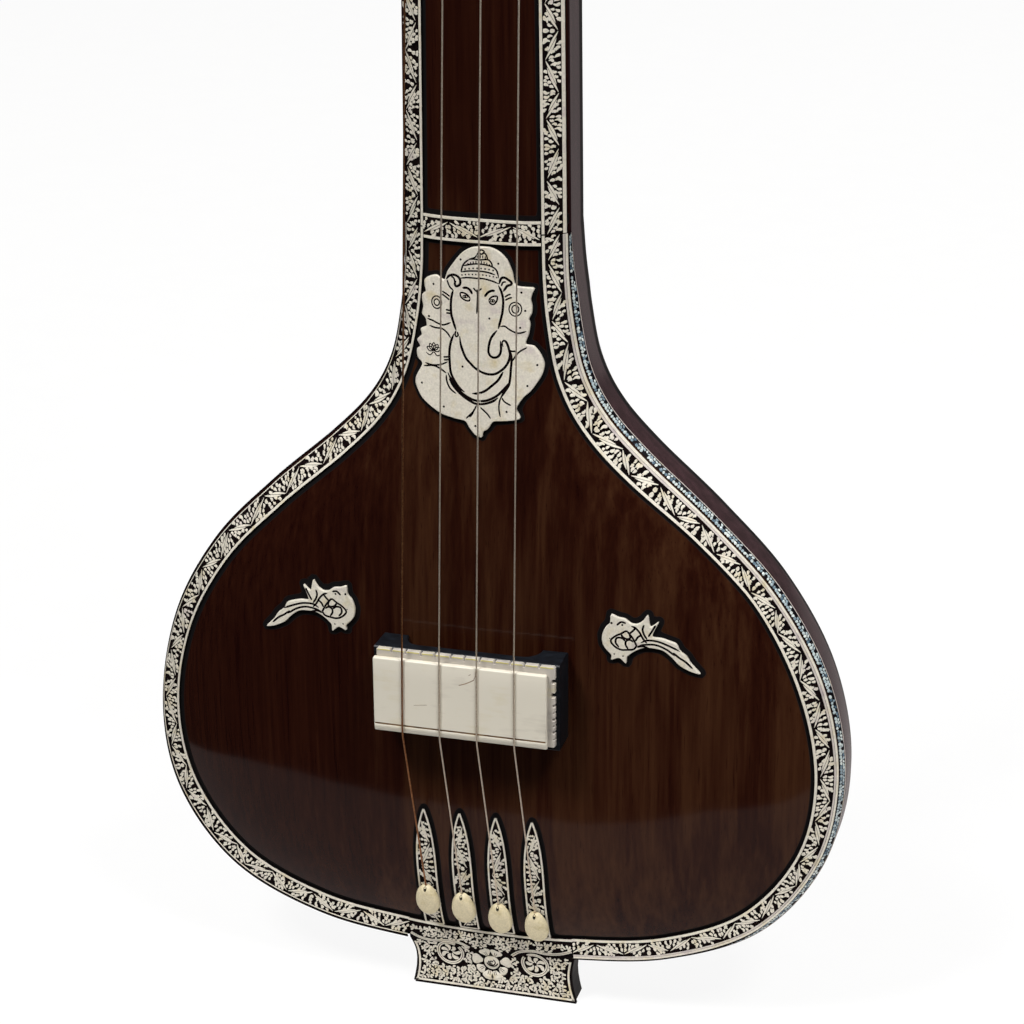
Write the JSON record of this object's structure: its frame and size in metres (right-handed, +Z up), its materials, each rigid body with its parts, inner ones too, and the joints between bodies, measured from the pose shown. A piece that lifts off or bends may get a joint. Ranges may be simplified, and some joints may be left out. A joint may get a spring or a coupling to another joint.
{
  "type": "tanpura",
  "caption": "Small hollow tanpura: long neck, domed dark face with engraved bone borders, flat bridge, strings, tuning beads that slide and pegs that turn.",
  "frame": {"origin": "centre of the tail block's flat bottom face, in the plane where the face meets the sides", "axes": "+X to the right as seen from the front, -Y out of the face, +Z up the neck"},
  "size_m": [0.2796, 0.0804, 0.9371],
  "materials": {
    "dark_wood": "high gloss lacquer",
    "lacquered_wood": "gloss lacquer",
    "inner_wood": "bare wood",
    "engraved_inlay": "engraved bone-like sheet, lines filled black",
    "pearl_edging": "pearl chips in black",
    "black_wood": "satin black",
    "bone": "satin bone",
    "bead": "satin bone",
    "steel_string": "drawn wire",
    "bronze_string": "drawn wire",
    "brass_pin": "satin"
  },
  "bodies": {
    "instrument": {"soundboard": "dark_wood", "neck_face": "dark_wood", "back_shell": "lacquered_wood", "neck_shell": "lacquered_wood", "head": "lacquered_wood", "neck_block": "inner_wood", "tail_inner_block": "inner_wood", "lining_right": "inner_wood", "lining_left": "inner_wood", "brace_lower": "inner_wood", "brace_upper": "inner_wood", "border_right": "engraved_inlay", "border_left": "engraved_inlay", "neck_border_right": "engraved_inlay", "neck_border_left": "engraved_inlay", "joint_band": "engraved_inlay", "figure_plate": "engraved_inlay", "bird_left": "engraved_inlay", "bird_right": "engraved_inlay", "tail_plate": "engraved_inlay", "leaf_strip_1": "engraved_inlay", "leaf_strip_2": "engraved_inlay", "leaf_strip_3": "engraved_inlay", "leaf_strip_4": "engraved_inlay", "pearl_edge_right": "pearl_edging", "pearl_edge_left": "pearl_edging", "tail_block": "black_wood", "bridge_body": "black_wood", "bridge_key_layer": "bone", "bridge_plate": "bone", "nut": "bone", "string_guide": "bone", "peg_collar_1": "bone", "peg_collar_2": "bone", "peg_collar_3": "bone", "peg_collar_4": "bone", "string_2": "steel_string", "string_3": "steel_string", "string_4": "steel_string", "string_1": "bronze_string", "hitch_pin_1": "brass_pin", "hitch_pin_2": "brass_pin", "hitch_pin_3": "brass_pin", "hitch_pin_4": "brass_pin"},
    "peg_1": {"peg_1": "black_wood"},
    "peg_2": {"peg_2": "black_wood"},
    "peg_3": {"peg_3": "black_wood"},
    "peg_4": {"peg_4": "black_wood"},
    "bead_1": {"tuning_bead_1": "bead"},
    "bead_2": {"tuning_bead_2": "bead"},
    "bead_3": {"tuning_bead_3": "bead"},
    "bead_4": {"tuning_bead_4": "bead"}
  },
  "joints": [
    {"name": "peg_1_turn", "type": "hinge", "parent": "instrument", "child": "peg_1", "pos_m": [-0.034, 0.006, 0.8], "axis": [-1, 0, 0], "continuous": true},
    {"name": "peg_2_turn", "type": "hinge", "parent": "instrument", "child": "peg_2", "pos_m": [-0.0076, -0.0129, 0.864], "axis": [0, -1, 0], "continuous": true},
    {"name": "peg_3_turn", "type": "hinge", "parent": "instrument", "child": "peg_3", "pos_m": [0.005, -0.0129, 0.896], "axis": [0, -1, 0], "continuous": true},
    {"name": "peg_4_turn", "type": "hinge", "parent": "instrument", "child": "peg_4", "pos_m": [0.034, 0.006, 0.832], "axis": [1, 0, 0], "continuous": true},
    {"name": "bead_1_slide", "type": "slide", "parent": "instrument", "child": "bead_1", "axis": [-0.0211, -0.2558, 0.9665], "range_m": [0, 0.024]},
    {"name": "bead_2_slide", "type": "slide", "parent": "instrument", "child": "bead_2", "axis": [-0.0201, -0.255, 0.9667], "range_m": [0, 0.024]},
    {"name": "bead_3_slide", "type": "slide", "parent": "instrument", "child": "bead_3", "axis": [-0.0187, -0.2599, 0.9654], "range_m": [0, 0.024]},
    {"name": "bead_4_slide", "type": "slide", "parent": "instrument", "child": "bead_4", "axis": [-0.0178, -0.2648, 0.9641], "range_m": [0, 0.024]}
  ]
}
